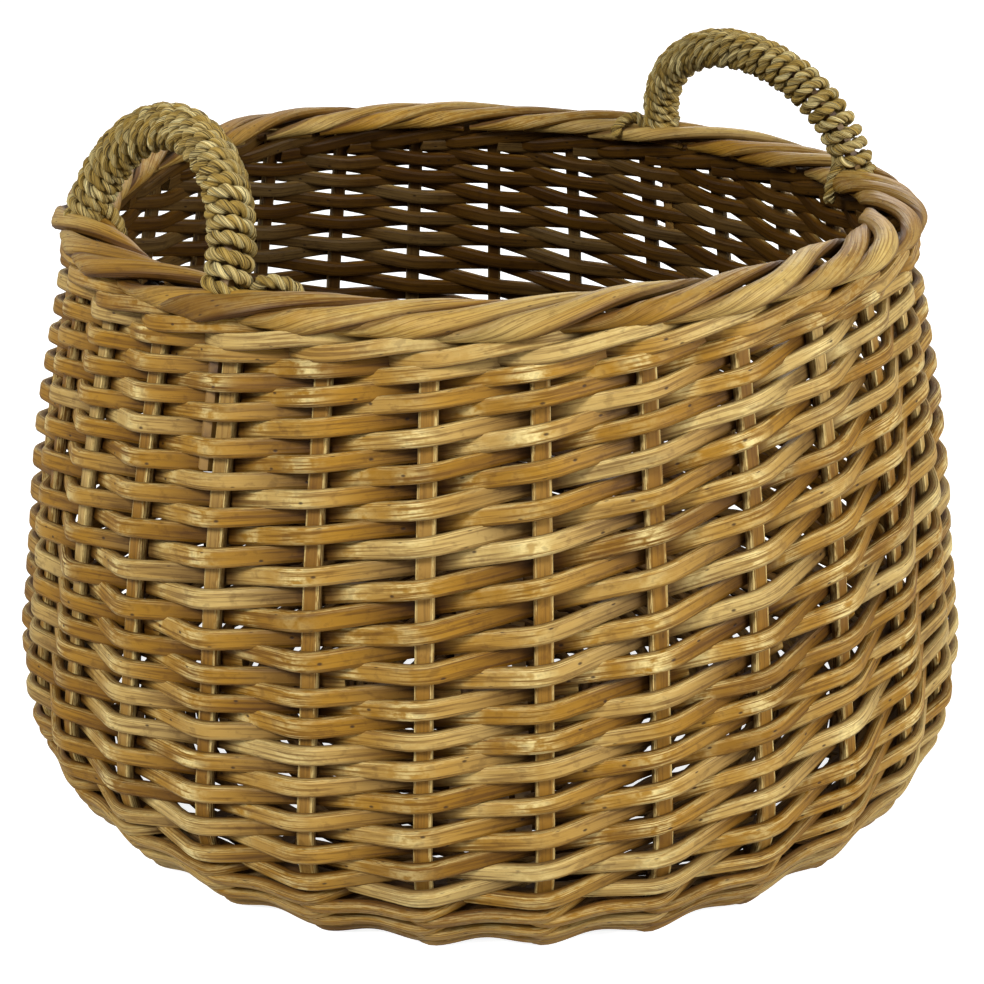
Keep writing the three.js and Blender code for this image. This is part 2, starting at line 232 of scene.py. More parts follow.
def even_path(points, spacing, reach):
    """The same line in even steps, with its corners rounded over about twice the reach."""
    points = np.asarray(points, float)
    run = run_along(points)
    t = np.linspace(0, run[-1], int(run[-1] / spacing) + 2)
    line = read_at(t, run, points)
    k = max(1, int(reach / spacing))
    for _ in range(2):
        before = 2 * line[0] - line[k:0:-1]
        after = 2 * line[-1] - line[-2:-k - 2:-1]
        padded = np.concatenate([before, line, after])
        sums = np.cumsum(np.concatenate([np.zeros((1, 3)), padded]), axis=0)
        line = (sums[2 * k + 1:] - sums[:-2 * k - 1]) / (2 * k + 1)
    return line


def in_rings(values, rings):
    """One value, or a row of any number of values, spread over the rings of a bar."""
    values = np.asarray(values, float)
    if values.ndim == 0:
        return np.full(rings, float(values))
    old = np.linspace(0, 1, len(values))
    new = np.linspace(0, 1, rings)
    if values.ndim == 1:
        return np.interp(new, old, values)
    return read_at(new, old, values)


def heading(line):
    return unit(np.gradient(line, axis=0))


def square_to(along, side):
    return unit(side - along * (side * along).sum(1, keepdims=True))


# %% Bars laid along the paths
MAP_ROUND = 0.024
MAP_STARTS = 50
EDGE_FROM = 0.8


def add_map(mesh, blank, run):
    """A map called grain, in metres: along the bar first, and round it second."""
    start = chance.uniform(0, MAP_STARTS)
    uv = np.stack([start + run[blank["loop_ring"]],
                   start + blank["loop_corner"] / blank["corners"] * MAP_ROUND], 1)
    for layer in list(mesh.uv_layers):
        mesh.uv_layers.remove(layer)
    mesh.uv_layers.new(name="grain").data.foreach_set("uv", uv.ravel())


def add_mark(mesh, name, values):
    mark = mesh.attributes.new(name, "FLOAT", "POINT")
    mark.data.foreach_set("value", values)


def lay_bar(blank, name, path, thick, high, outline, side=None, pale=0.0, edge_pale=0.0,
            shade=0.0, groove=0.0, crest=0.0, under=0.0):
    """A copy of the blank along the path; thick is across the wall and high is up it.

    pale marks crushed and worn places and, on randed rods, painted highlight too; edge_pale
    makes both edges paler. crest is a painted highlight on the upper edge. shade, groove and
    under are painted shade on what lies deep: some lengths of the bar, both its edges, and
    its lower edge. On the border, shade is each stroke's own tone instead.
    """
    rings = blank["rings"]
    path = in_rings(path, rings)
    side = out_at(path) if side is None else in_rings(side, rings)
    along = heading(path)
    side = square_to(along, side)
    across = np.cross(along, side)
    shape = np.array(outline)[blank["corner"]]
    ring = blank["ring"]
    thick, high = in_rings(thick, rings), in_rings(high, rings)
    pale, shade = in_rings(pale, rings), in_rings(shade, rings)
    place = (path[ring] + side[ring] * (shape[:, :1] * thick[ring, None] / 2)
             + across[ring] * (shape[:, 1:] * high[ring, None] / 2) + MIDDLE) * MM
    mesh = blank["object"].data.copy()
    mesh.name = name
    mesh.vertices.foreach_set("co", place.ravel())
    add_map(mesh, blank, run_along(path) * MM)

    # crown is a painted highlight along the upper edge of the bar's outer face.
    outward, downward = shape[:, 0], shape[:, 1]
    outer = np.clip(outward * 0.6 + 0.5, 0, 1)
    edge = edge_pale * (np.abs(downward) > EDGE_FROM)
    crown = crest * np.clip(-3 * downward - 2, 0, 1) * (outward > 0) * (1 - shade[ring])
    add_mark(mesh, "pale", np.maximum(pale[ring] * outer, edge + crown))
    # hidden is painted shade: on the bar's inner half (the underside of the base's rods), on both
    # its edges by groove, and on its lower edge by under.
    hidden = np.maximum(np.clip(0.5 - 0.7 * outward, 0, 1),
                        groove * np.clip(2.2 * np.abs(downward) - 1.3, 0, 1))
    hidden = np.maximum(hidden, under * np.clip(3 * downward - 2, 0, 1))
    add_mark(mesh, "inner", np.maximum(hidden, shade[ring]))
    mesh.update()
    made = bpy.data.objects.new(name, mesh)
    bpy.context.collection.objects.link(made)
    return made


# %% Bars joined to a piece
SHARP, ROUND_SHARP = 15, 60


def one_piece(parts, name, node_names, sharp=SHARP):
    """Joins the bars of one woven piece and gives it to the frame."""
    bpy.ops.object.select_all(action="DESELECT")
    for part in parts:
        part.select_set(True)
    bpy.context.view_layer.objects.active = parts[0]
    if len(parts) > 1:
        bpy.ops.object.join()
    piece = bpy.context.view_layer.objects.active
    piece.name = name
    piece.data.name = name
    bpy.ops.object.shade_smooth_by_angle(angle=math.radians(sharp))
    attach(piece, "root")
    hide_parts(*node_names)
    piece.select_set(False)
    print(name, len(piece.data.polygons), "faces")
    return piece


# %% [markdown]
# ## Stakes
# Twenty-nine flat rods start inside the base, turn up at its edge and end in the border.
# One stake turned round the middle would give them all, but this wall isn't quite round,
# so each is laid along its own path. Their faces are brown and they are paler along both
# edges, which the marks along the edges give to the material.

# %% The stakes
STAKE_THICK, STAKE_WIDE = 5.2, 8.3
STAKE_LEVEL = 7.3
STAKE_HEIGHTS = np.linspace(24, 280, 26)


def stake_angle(i):
    return FIRST_ANGLE + i * PITCH


stakes = []
edge_radius = float(mean_radius(STAKE_LEVEL))
inside_base = np.array([edge_radius - 44, edge_radius - 20, edge_radius])
for i in range(STAKES):
    name = f"stake_rod_{i + 1:02d}"
    angle = stake_angle(i)
    angles = np.full(len(STAKE_HEIGHTS), angle)
    points = np.concatenate([polar(angle, inside_base, STAKE_LEVEL), wall(angles, STAKE_HEIGHTS)])
    facing = np.concatenate([np.tile([0, 0, -1.0], (len(inside_base), 1)),
                             wall_out(angles, STAKE_HEIGHTS)])
    width = STAKE_WIDE + chance.normal(0, 0.3)
    # How much paler the stake is along both its edges than on its face.
    edge_paleness = chance.uniform(1.2, 2.4)
    bar = lay_bar(short_blank, name, even_path(points, spacing=2, reach=5), STAKE_THICK, width,
                  FLAT, side=even_path(facing, spacing=0.05, reach=0.1), edge_pale=edge_paleness)
    stakes.append(one_piece([bar], name, [f"stake_{i + 1:02d}"]))

# %% [markdown]
# ## The siding: French randing
# In this weave there is one rod for each stake. Each rod starts one stake further on, goes
# in front of one stake and behind the next, and climbs one level at every stake. So all
# the front strokes lie level round the basket, but each single rod winds up the wall. A
# pattern on one shell would look flat, so every rod is made and takes its real way. The
# rods are bent sharply at each stake and run straight between two stakes. On the right
# they lie looser and are a little thinner.

# %% Where a randed rod goes
ROD_OUT, END_OUT = 5.4, -5.0
BEND_REACH = 0.085
BEND_SPACING, BEND_ROUNDING = 1.2, 2.6


def rise(value, start, width):
    """0 up to start, 1 from width further on, and straight between."""
    return np.clip((value - start) / width, 0, 1)


def stake_places(first_stake, count):
    """Angles of stakes from the front, from minus to plus half a turn."""
    angles = stake_angle(first_stake + np.arange(count))
    return np.mod(angles + math.pi, 2 * math.pi) - math.pi


def looseness(place):
    """1 on the right of the basket and 0 elsewhere."""
    return rise(place, 0.25, 0.5) * rise(-place, -2.0, 0.5)


def rand_line(first_stake, level_height, levels, start, end):
    """Alternately in front of a stake and behind the next, a level higher at each."""
    place = stake_places(first_stake, levels + 2)
    lean = chance.normal(0, 0.35, levels + 2) * (1 + 2.2 * looseness(place))
    corners = [(first_stake + start, level_height(start), END_OUT)]
    for j in range(levels):
        side = ROD_OUT if j % 2 == 0 else -ROD_OUT
        for reach in (-BEND_REACH, BEND_REACH):
            u = first_stake + j + reach
            height = level_height(j + reach) + lean[j]
            corners.append((u, height, side + chance.normal(0, 0.2)))
    corners.append((first_stake + end, level_height(end), END_OUT))
    rows = np.array(corners)
    points = wall(stake_angle(rows[:, 0]), rows[:, 1], rows[:, 2])
    return even_path(points, BEND_SPACING, BEND_ROUNDING)


# %% A randed rod
def crush_and_highlight_marks(from_front, strength):
    """Pale just before the stake and where the rod comes forward: partly crushed fibre from
    the bend, partly painted highlight on the side that faces the light.
    """
    at_stake = np.exp(-((from_front + 0.1) / 0.15) ** 2)
    coming = 0.7 * np.exp(-((from_front + 0.62) / 0.13) ** 2)
    return (at_stake + coming) * strength


def shade_marks(from_front):
    """Painted shade where the rod comes out from under a stake and where it leaves to the back.
    """
    tucked = 0.9 * rise(-from_front, 0.66, 0.2)
    leaving = 0.68 * rise(from_front, 0.2, 0.5) ** 1.2 + 0.27 * rise(from_front, 0.74, 0.15)
    return tucked + leaving


def rand_rod(blank, name, first_stake, level_height, levels, start, end, thick_at, high_at):
    line = rand_line(first_stake, level_height, levels, start, end)
    u = (np.unwrap(angle_of(line)) - stake_angle(first_stake)) / PITCH
    u = u - round((u[0] - start) / STAKES) * STAKES
    from_front = u - 2 * np.rint(u / 2)
    nearest = np.clip(np.rint(u).astype(int) + 1, 0, levels + 3)
    strength = chance.uniform(0.1, 1.3, levels + 4)[nearest]
    place = stake_places(first_stake, levels + 2)
    thinner = 0.10 * looseness(place) + 0.03 * rise(np.abs(place), 1.9, 0.3)
    slim = 1 - np.interp(u, np.arange(levels + 2), thinner)
    bow = 1 + 0.05 * np.sin(u * 2.1 + chance.uniform(0, 6)) + chance.normal(0, 0.02)
    # The pale marks are partly painted highlight, crest is a painted highlight, and shade and
    # under are painted shade.
    return lay_bar(blank, name, line, thick_at(u), high_at(u) * bow * slim, FLAT,
                   pale=crush_and_highlight_marks(from_front, strength), shade=shade_marks(from_front),
                   crest=0.75, under=0.75)


# %% The lower set of siding rods
LOWER_START = 25
LOWER_ROWS = [39.4, 54, 68.9, 84.3, 99.2, 112, 125.3, 137]


def lower_level(j):
    return np.interp(j / 2, np.arange(-1, 8), [LOWER_START] + LOWER_ROWS)


lower_rods = [
    rand_rod(lower_blank, f"lower_rod_{m + 1:02d}", m, lower_level, levels=14,
             start=-1.05, end=13.3,
             thick_at=lambda u: 5.2 - 0.03 * u, high_at=lambda u: 7.4 + 0.08 * u)
    for m in range(STAKES)
]
lower_siding = one_piece(lower_rods, "siding_lower_rods", ["siding_lower"])


# %% The upper set of siding rods
UPPER_START = 132
UPPER_ROWS = [141, 159, 177.6, 194.8, 210, 224.6, 239, 251.9, 263.3, 272]


def upper_level(j):
    return np.interp(j / 2, np.arange(-1, 10), [UPPER_START] + UPPER_ROWS)


upper_rods = [
    rand_rod(upper_blank, f"upper_rod_{m + 1:02d}", m, upper_level, levels=17,
             start=-1.05, end=16.95,
             thick_at=lambda u: 5.4 - 0.03 * u, high_at=lambda u: 8.9 - 0.07 * u)
    for m in range(STAKES)
]
upper_siding = one_piece(upper_rods, "siding_upper_rods", ["siding_upper"])

# %% [markdown]
# ## Wales
# Below and above the siding a few rods are worked together: each passes in front of two
# stakes and behind one, over its fellows, so the row looks like a flat rope. One such row
# lies under the border and three stand on the base. Three copies of one wave would do for
# a row. Here one wave goes three times round, which comes to the same, because twenty-nine
# stakes can't be shared out by three.

# %% A row of waling
WALE_CUTS = [2, 17, 32, 47, 59, 74, 89]
WALE_OUT = 5.7
WALE_STEPS = 16


def wale_rods(name, height, swing, thick, high, push=0.0, bump=0.0, tone=0.0):
    """Three rods go once round, each made of two lengths whose ends meet behind a stake."""
    made = []
    for n, (first, last) in enumerate(zip(WALE_CUTS, WALE_CUTS[1:])):
        u = np.linspace(first, last, WALE_STEPS * (last - first))
        theta = 2 * math.pi * (u - 0.5) / 3
        flat = np.clip(2.0 * np.cos(theta), -1, 1)
        at_stake = np.cos(2 * math.pi * u)
        offset = WALE_OUT * flat + push + bump * at_stake
        level = height + swing * np.sin(theta) + 0.3 * np.sin(u * 0.7) - 0.5 * bump * at_stake
        line = even_path(wall(stake_angle(u), level, offset), spacing=1.2, reach=2.2)
        marks = 0.35 * np.abs(np.sin(in_rings(u, len(line)) * 2.2))
        # Painted shade where the rod goes behind the stakes, with more of it from tone; crest is
        # a painted highlight and under painted shade on the lower edge.
        behind = np.clip((3.6 - in_rings(offset, len(line))) / 6, 0, 1)
        made.append(lay_bar(upper_blank, f"{name}_{n + 1}", line, thick, high, FLAT,
                            pale=marks, shade=tone + 0.8 * behind ** 1.3,
                            crest=0.6, under=1.0))
    return made


# %% The wales
top_wale = one_piece(wale_rods("top_wale_rod", 272.2, 3.9, 4.8, 7.5, push=0.8),
                     "top_wale_rods", ["top_wale"])
# The bottom rows' tone is painted shade, more the lower the row.
bottom_rows = (
    wale_rods("bottom_wale_rod_a", 28.2, 2.6, 5.2, 5.6, bump=1.1, tone=0.1)
    + wale_rods("bottom_wale_rod_b", 18.2, 2.6, 5.4, 5.8, bump=1.5, tone=0.15)
    + wale_rods("bottom_wale_rod_c", 9.6, 2.0, 5.4, 5.8, push=-1.8, bump=1.7, tone=0.2)
)
bottom_wale = one_piece(bottom_rows, "bottom_wale_rods", ["bottom_wale"])

# %% [markdown]
# ## Border
# At the top each stake is bent down to the right and plaited with its neighbours into a
# thick rolled edge. From outside one sees long flat strokes that come up from below and
# pass over the top. A ring with grooves would lack their ends and overlaps, so each stroke
# is one bar that winds once round the roll.

# %% The border's strokes
STROKE_STEPS = 120
STROKE_FROM, STROKE_TURN = -118, 352
STROKE_LEAD, STROKE_BACK = 4.2, 1.6
STROKE_THICK, STROKE_WIDE = 7.6, 11.6
STROKE_TILT = math.radians(9)
STROKE_PROUD = 0.7
UP = np.array([0, 0, 1.0])


def roll_middle(angle):
    """The middle of the rolled edge, and the level outward direction there."""
    middle = wall(angle, np.full(len(angle), NECK))
    out = unit(middle * [1, 1, 0])
    middle = middle + out * BORDER_OUT
    middle[:, 2] = BORDER_HEIGHT + wave(angle, NECK)
    return middle, out


def border_stroke(m):
    t = np.linspace(0, 1, STROKE_STEPS)
    section = np.radians(STROKE_FROM + STROKE_TURN * t)
    lead = STROKE_LEAD + chance.normal(0, 0.2)
    begin = stake_angle(m - STROKE_BACK + chance.normal(0, 0.08))
    angle = begin + PITCH * lead * (t + 0.035 * np.sin(2 * math.pi * t))
    swell = np.sin(np.pi * np.clip(t * 1.02, 0, 1)) ** 0.45
    thick = STROKE_THICK * (0.45 + 0.55 * swell)
    wide = (STROKE_WIDE + chance.normal(0, 0.6)) * (0.4 + 0.6 * swell)
    middle, out = roll_middle(angle)
    half_wide = BORDER_WIDTH / 2 - thick / 2 + STROKE_PROUD
    half_deep = BORDER_DEPTH / 2 - thick / 2 + STROKE_PROUD
    loose = 0.6 * np.sin(angle * 7 + m) + (1.3 if m % 2 else -0.9)
    path = (middle + out * ((half_wide + loose) * np.cos(section))[:, None]
            + UP * ((half_deep + 0.5 * loose) * np.sin(section))[:, None])
    facing = unit(out * (np.cos(section) / half_wide)[:, None]
                  + UP * (np.sin(section) / half_deep)[:, None])
    sideways = np.cross(heading(path), facing)
    facing = facing * math.cos(STROKE_TILT) + sideways * math.sin(STROKE_TILT)
    # crest is a painted highlight on each stroke's upper edge, groove and under are painted shade
    # between the strokes and under them, and shade here is each stroke's own tone.
    return lay_bar(short_blank, f"border_stroke_{m + 1:02d}",
                   even_path(path, spacing=1.5, reach=2), thick, wide, OVAL_BAR,
                   side=unit(facing), pale=0.2 + 0.2 * np.sin(t * 9 + m),
                   shade=0.3 * (m * 7 % 5) / 4, groove=0.6, crest=0.6, under=1.0)


border = one_piece([border_stroke(m) for m in range(STAKES)], "border_rods", ["border"])

# %% [markdown]
# ## Base
# The base is a woven disc: thin rods go round and round, over and under the sticks. One
# long spiral gives it, because with an odd number of crossings each round passes on the
# other side from the one before. It is made in four lengths, and the innermost has fewer
# crossings, because its rounds are short.

# %% The base's weave
BASE_INNER, BASE_OUTER, ROW_STEP = 30.5, 220.0, 5.5
BASE_LEVEL, BASE_SWING = 7.0, 3.9
BASE_THICK, BASE_HIGH = 5.0, 5.5
BASE_STEPS = 28
BASE_BANDS = [(BASE_INNER, 74, 15), (74, 122, 29), (122, 172, 29), (172, BASE_OUTER, 29)]

base_parts = []
for band, (inner, outer, crossings) in enumerate(BASE_BANDS):
    first, last = ((r - BASE_INNER) / ROW_STEP * 2 * math.pi for r in (inner, outer))
    turn = np.linspace(first, last, int((last - first) * BASE_STEPS))
    radius = BASE_INNER + ROW_STEP * turn / (2 * math.pi)
    height = BASE_LEVEL + BASE_SWING * np.cos(turn * crossings / 2)
    line = even_path(polar(turn, radius, height), spacing=2.0, reach=2.5)
    base_parts.append(lay_bar(cord_blank, f"base_rod_{band + 1}", line, BASE_THICK, BASE_HIGH,
                              ROUND, side=np.tile(UP, (len(line), 1))))
base_weave = one_piece(base_parts, "base_weave_rods", ["base_weave"],
                       sharp=ROUND_SHARP)

# %% [markdown]
# ## Handles
# Each handle is a stiff arch pushed down beside two stakes and wound with cord. One round
# cord would do from far away, but from near one sees that it is twisted from two strands.
# So the path of the winding is found first, a helix round the arch, and then two strands
# are twisted round that path.

# %% The arch
SPAN = 4
ARCH_FOOT = 6
ARCH_INWARD = 21
ARCH_STEPS = 90
# name, first stake, feet inside their stakes, height, and each loose end's reach and drop
HANDLES = [("handle_left", -6, (15, 9), 56.5, ((5, 14), (25, 5))),
           ("handle_right", 9, (9, 12.5), 60, ((-5, 18), (21, 8)))]


def arch_path(first_stake, sides, height):
    feet = [stake_angle(first_stake) + sides[0] / STATION_RADII[LAST],
            stake_angle(first_stake + SPAN) - sides[1] / STATION_RADII[LAST]]
    ends = [wall(np.array([a]), np.array([BODY_HEIGHT - ARCH_FOOT]))[0] for a in feet]
    middle = (ends[0] + ends[1]) / 2
    half = (ends[1] - ends[0]) / 2
    inward = unit(middle * [-1, -1, 0])
    top = np.array([0, 0, height]) + inward * ARCH_INWARD
    t = np.linspace(0, math.pi, ARCH_STEPS)[:, None]
    return middle - half * np.cos(t) + top * np.sin(t)


# %% Two strands twisted round a path
def twisted(path, name, reach, lay, thick, side):
    """The strands lie reach away from the path; lay is the length of one full twist."""
    line = np.asarray(path)
    run = run_along(line)
    along = heading(line)
    side = square_to(along, side)
    across = np.cross(along, side)
    made = []
    for n in range(2):
        t = (2 * math.pi * run / lay + math.pi * n)[:, None]
        facing = side * np.cos(t) + across * np.sin(t)
        made.append(lay_bar(cord_blank, f"{name}_{n + 1}", line + reach * facing, thick,
                            thick * 1.08, ROUND, side=facing))
    return made


# %% The winding
TURNS = 31.5
WINDING_STEPS = 1334
WINDING_RADIUS = 7.9
WINDING_BELOW = 5.5


def border_top(angle):
    return BODY_HEIGHT + wave(angle, NECK)


def winding(name, first_stake, sides, height):
    """Cord round the arch, from just below the border's top to just below it again."""
    arch = arch_path(first_stake, sides, height)
    run = run_along(arch)
    above = arch[:, 2] - border_top(angle_of(arch)) + WINDING_BELOW
    clear = np.where(above > 0)[0]
    s = np.linspace(run[clear[0]], run[clear[-1]], WINDING_STEPS)
    centre = read_at(s, run, arch)
    crown = centre[WINDING_STEPS // 2]
    flat = unit(np.cross(centre[0] - crown, centre[-1] - crown))
    side = unit(np.cross(flat, heading(centre)))
    t = np.linspace(0, 2 * math.pi * TURNS, WINDING_STEPS)
    t = t + 0.25 * np.sin(t * 0.37)
    ring = flat * np.cos(t)[:, None] + side * np.sin(t)[:, None]
    path = centre + WINDING_RADIUS * ring
    strands = twisted(path, f"{name}_strand", reach=1.5, lay=12.0, thick=3.6, side=ring)
    return strands, path


# %% The cord's loose ends
TAIL_FACING = 0.6


def cord_end(path, name, reach, drop):
    """Lies along the border's inner edge for a little way and is tucked in below it."""
    away = unit(path[0] - path[6])
    angle = angle_of(path[0])
    foot = np.linalg.norm(wall(np.array([angle]), np.array([NECK]))[0][:2])
    inner = foot + BORDER_OUT - BORDER_WIDTH / 2
    turn = reach / foot
    top = border_top(angle)
    points = [path[0], path[0] + away * 3,
              polar(angle + 0.45 * turn, inner + 6, top + 3.0),
              polar(angle + 0.8 * turn, inner + 1, top + 1.5),
              polar(angle + turn, inner - 2.5, top - 0.5 * drop),
              polar(angle + turn, inner - 2.5, top - drop)]
    line = even_path(points, spacing=0.5, reach=3)
    facing = unit(np.array([math.sin(angle), -math.cos(angle), TAIL_FACING]))
    return twisted(line, name, reach=1.55, lay=11.0, thick=3.5,
                   side=np.tile(facing, (len(line), 1)))


# %% Both handles
seagrass_pieces = []
for name, first_stake, sides, height, tails in HANDLES:
    strands, path = winding(name, first_stake, sides, height)
    seagrass_pieces.append(one_piece(strands, f"{name}_cord", [f"{name}_winding"],
                                     sharp=ROUND_SHARP))
    for n, line in enumerate((path, path[::-1])):
        ends = cord_end(line, f"{name}_end_{n + 1}", *tails[n])
        seagrass_pieces.append(one_piece(ends, f"{name}_cord_tail_{n + 1}",
                                         [f"{name}_cord_end_{n + 1}"],
                                         sharp=ROUND_SHARP))
for blank in (lower_blank, upper_blank, short_blank, cord_blank):
    bpy.data.objects.remove(blank["object"])
print(len(seagrass_pieces), "pieces of cord")

# %% [markdown]
# ## Willow
# Dried brown willow is streaked along the rod, blotched from rod to rod, dotted with dark
# knots and pale where it was crushed round a stake. A pattern placed in space would cut
# across the rods. So one node group reads each rod's own map, whose first direction runs
# along the rod, and the grain follows every bend. Two marks on the rods' points go into the
# colour: pale, for crushed and worn places and for painted highlight, and inner, for painted
# shade where a rod lies deep in the weave and, on the border, each stroke's own tone.


# %% Small helpers for the nodes
def give(tree, socket, value):
    """Links a socket to another one, or sets its value."""
    if isinstance(value, bpy.types.NodeSocket):
        tree.links.new(value, socket)
    else:
        socket.default_value = value


def mix(tree, factor, a, b, blend="MIX"):
    node = tree.nodes.new("ShaderNodeMix")
    node.data_type = "RGBA"
    node.blend_type = blend
    for socket, value in ((node.inputs[0], factor), (node.inputs[6], a), (node.inputs[7], b)):
        give(tree, socket, value)
    return node.outputs[2]


def maths(tree, kind, a, b=0.0):
    node = tree.nodes.new("ShaderNodeMath")
    node.operation = kind
    for socket, value in zip(node.inputs, (a, b)):
        give(tree, socket, value)
    return node.outputs[0]


def ramp(tree, value, low, high):
    node = tree.nodes.new("ShaderNodeMapRange")
    node.interpolation_type = "SMOOTHSTEP"
    tree.links.new(value, node.inputs["Value"])
    node.inputs["From Min"].default_value = low
    node.inputs["From Max"].default_value = high
    return node.outputs["Result"]


def mark_on(tree, name):
    node = tree.nodes.new("ShaderNodeAttribute")
    node.attribute_name = name
    return node.outputs["Fac"]


def grain_place(tree, along, across):
    """The rod's own map, stretched to so many features a metre along and across it."""
    place = tree.nodes.new("ShaderNodeMapping")
    place.inputs["Scale"].default_value = (along, across, 1)
    coords = tree.nodes.new("ShaderNodeUVMap")
    coords.uv_map = "grain"
    tree.links.new(coords.outputs[0], place.inputs["Vector"])
    return place.outputs[0]


def noise_along(tree, along, across, detail):
    node = tree.nodes.new("ShaderNodeTexNoise")
    node.noise_dimensions = "2D"
    node.inputs["Scale"].default_value = 1.0
    node.inputs["Detail"].default_value = detail
    node.inputs["Roughness"].default_value = 0.6
    tree.links.new(grain_place(tree, along, across), node.inputs["Vector"])
    return node.outputs["Fac"]


def group_sockets(tree, wanted):
    for name, way, kind, value in wanted:
        socket = tree.interface.new_socket(name, in_out=way, socket_type=kind)
        if value is not None:
            socket.default_value = value
    return tree.nodes.new("NodeGroupInput"), tree.nodes.new("NodeGroupOutput")


# %% The skin of a willow rod
COLOUR, NUMBER = "NodeSocketColor", "NodeSocketFloat"
KNOT_COLOUR = (0.035, 0.016, 0.008, 1)
# Colours of the painted shade: warm in the weave's crevices, and greyer where it is deepest, on
# the rods' inner faces.
SHADE_TINT, DEEPEST_SHADE_TINT = (0.165, 0.078, 0.022, 1), (0.135, 0.10, 0.075, 1)


def willow_knots(tree, amount):
    """Small dark dots, one in each cell of a stretched pattern."""
    cells = tree.nodes.new("ShaderNodeTexVoronoi")
    cells.voronoi_dimensions = "2D"
    cells.inputs["Scale"].default_value = 0.55
    tree.links.new(grain_place(tree, along=60, across=260), cells.inputs["Vector"])
    dots = maths(tree, "SUBTRACT", 1.0, ramp(tree, cells.outputs["Distance"], 0.015, 0.05))
    return maths(tree, "MULTIPLY", dots, amount)


def willow_skin():
    tree = bpy.data.node_groups.new("willow_skin", "ShaderNodeTree")
    given, out = group_sockets(tree, [
        ("Base", "INPUT", COLOUR, (0.4, 0.25, 0.08, 1)),
        ("Dark", "INPUT", COLOUR, (0.1, 0.05, 0.02, 1)),
        ("Pale", "INPUT", COLOUR, (0.7, 0.6, 0.35, 1)),
        ("Streaks", "INPUT", NUMBER, 0.6), ("Knots", "INPUT", NUMBER, 0.8),
        ("Painted Shade", "INPUT", NUMBER, 0.85), ("Color", "OUTPUT", COLOUR, None),
        ("Roughness", "OUTPUT", NUMBER, None), ("Height", "OUTPUT", NUMBER, None),
    ])
    base, dark, pale = (given.outputs[key] for key in ("Base", "Dark", "Pale"))
    streaks = given.outputs["Streaks"]
    fibre = noise_along(tree, along=24, across=1700, detail=4)
    band = noise_along(tree, along=9, across=420, detail=3)
    tone = noise_along(tree, along=4.5, across=3, detail=2)
    patch = noise_along(tree, along=130, across=420, detail=3)
    knot = willow_knots(tree, given.outputs["Knots"])

    light = maths(tree, "MULTIPLY", ramp(tree, tone, 0.45, 0.72), 0.42)
    skin = mix(tree, light, base, pale)
    deep = maths(tree, "SUBTRACT", 1.0, ramp(tree, tone, 0.28, 0.5))
    skin = mix(tree, maths(tree, "MULTIPLY", deep, 0.45), skin, dark)
    broad = maths(tree, "MULTIPLY", streaks, 0.9)
    skin = mix(tree, maths(tree, "MULTIPLY", ramp(tree, band, 0.5, 0.8), broad), skin, dark)
    skin = mix(tree, maths(tree, "MULTIPLY", ramp(tree, fibre, 0.47, 0.66), streaks), skin, dark)

    # The pale mark, crushed places together with painted highlight, shows along torn fibres.
    torn = maths(tree, "MULTIPLY", ramp(tree, fibre, 0.62, 0.42), ramp(tree, patch, 0.3, 0.6))
    crush_and_highlight = maths(tree, "MULTIPLY", mark_on(tree, "pale"), torn)
    skin = mix(tree, maths(tree, "MULTIPLY", crush_and_highlight, 0.95), skin, pale)
    specks = maths(tree, "MULTIPLY", ramp(tree, patch, 0.54, 0.7), 0.3)
    skin = mix(tree, specks, skin, dark)
    skin = mix(tree, maths(tree, "MULTIPLY", knot, 0.85), skin, KNOT_COLOUR)

    # The inner mark is painted shade; the group's input sets how dark it gets.
    inside = mark_on(tree, "inner")
    shade_tint = mix(tree, ramp(tree, inside, 0.85, 1.0), SHADE_TINT, DEEPEST_SHADE_TINT)
    painted_shade = maths(tree, "MULTIPLY", inside, given.outputs["Painted Shade"])
    tree.links.new(mix(tree, painted_shade, skin, shade_tint, "MULTIPLY"), out.inputs["Color"])
    rough = maths(tree, "ADD", maths(tree, "MULTIPLY", fibre, 0.3), 0.36)
    tree.links.new(rough, out.inputs["Roughness"])
    height = maths(tree, "SUBTRACT", maths(tree, "MULTIPLY", fibre, 0.6),
                   maths(tree, "MULTIPLY", knot, 0.5))
    height = maths(tree, "ADD", height, maths(tree, "MULTIPLY", band, 0.4))
    tree.links.new(height, out.inputs["Height"])
    return tree


skin_group = willow_skin()
print("willow_skin has", len(skin_group.nodes), "nodes")


# %% Materials of willow
def add_relief(tree, shader, height, strength, distance):
    relief = tree.nodes.new("ShaderNodeBump")
    relief.inputs["Strength"].default_value = strength
    relief.inputs["Distance"].default_value = distance
    tree.links.new(height, relief.inputs["Height"])
    tree.links.new(relief.outputs["Normal"], shader.inputs["Normal"])


def finish(name, group, values, strength, distance):
    """A material from one of the groups; strength and distance are those of its relief."""
    material = bpy.data.materials.new(name)
    material.use_nodes = True
    tree = material.node_tree
    shader = tree.nodes["Principled BSDF"]
    effect = tree.nodes.new("ShaderNodeGroup")
    effect.node_tree = group
    for key, value in values.items():
        effect.inputs[key].default_value = value
    tree.links.new(effect.outputs["Color"], shader.inputs["Base Color"])
    tree.links.new(effect.outputs["Roughness"], shader.inputs["Roughness"])
    shader.inputs["Specular IOR Level"].default_value = 0.17
    add_relief(tree, shader, effect.outputs["Height"], strength, distance)
    print("material", name)
    return material


def wear(piece, material):
    piece.data.materials.clear()
    piece.data.materials.append(material)


